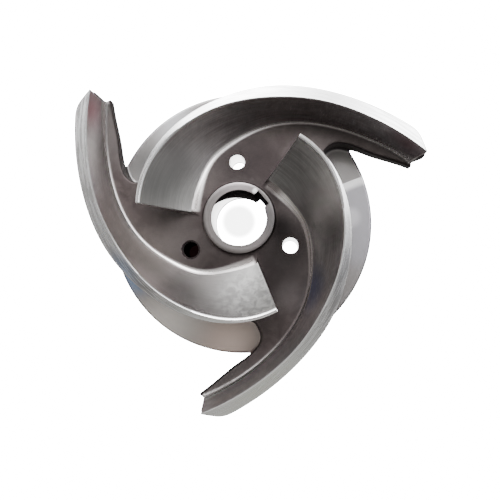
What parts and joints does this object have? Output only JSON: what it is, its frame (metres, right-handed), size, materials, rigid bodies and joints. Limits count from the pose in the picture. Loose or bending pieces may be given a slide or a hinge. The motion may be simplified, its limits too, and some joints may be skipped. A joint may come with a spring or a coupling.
{
  "type": "pump impeller",
  "caption": "Open pump impeller for pulp and thick stock: swept-back vanes on a round back plate, balance holes, and a hub with a keyed bore.",
  "frame": {"origin": "centre of mass, on the shaft axis, between the hub's two end faces", "axes": "+Z along the shaft axis towards the inlet, which is the side the picture shows; +X through the middle of the keyway"},
  "size_m": [0.3445, 0.3433, 0.117],
  "materials": {
    "cast_stainless": "cast stainless steel, satin and a little brown, with machined vane fronts and hub faces"
  },
  "bodies": {
    "root": {"impeller_casting": "cast_stainless"}
  },
  "joints": []
}
